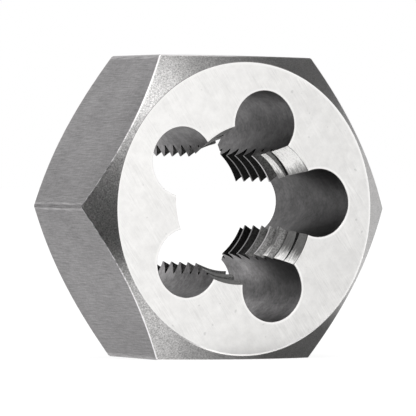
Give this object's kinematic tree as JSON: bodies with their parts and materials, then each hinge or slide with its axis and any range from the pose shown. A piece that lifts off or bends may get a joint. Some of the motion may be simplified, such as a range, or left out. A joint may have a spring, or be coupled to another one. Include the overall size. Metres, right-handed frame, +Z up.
{
  "type": "hex threading die",
  "caption": "Solid hexagonal die that cuts or chases an external thread, with tapered lead-ins and clearance holes between its cutting lands.",
  "frame": {"origin": "centre of the die, on the thread axis, half way between the two end faces", "axes": "+Y along the thread axis from the start face to the back face, +X towards a corner of the hexagon, +Z up through the middle of a flat; the die stands on its lower flat"},
  "size_m": [0.031, 0.0126, 0.027],
  "materials": {
    "hardened_steel": "hardened high-speed steel: bright satin ground end faces and lead-ins, brushed grey flats, grainy turned bevels, dark hole walls and thread"
  },
  "bodies": {
    "root": {"threading_die": "hardened_steel"}
  },
  "joints": []
}
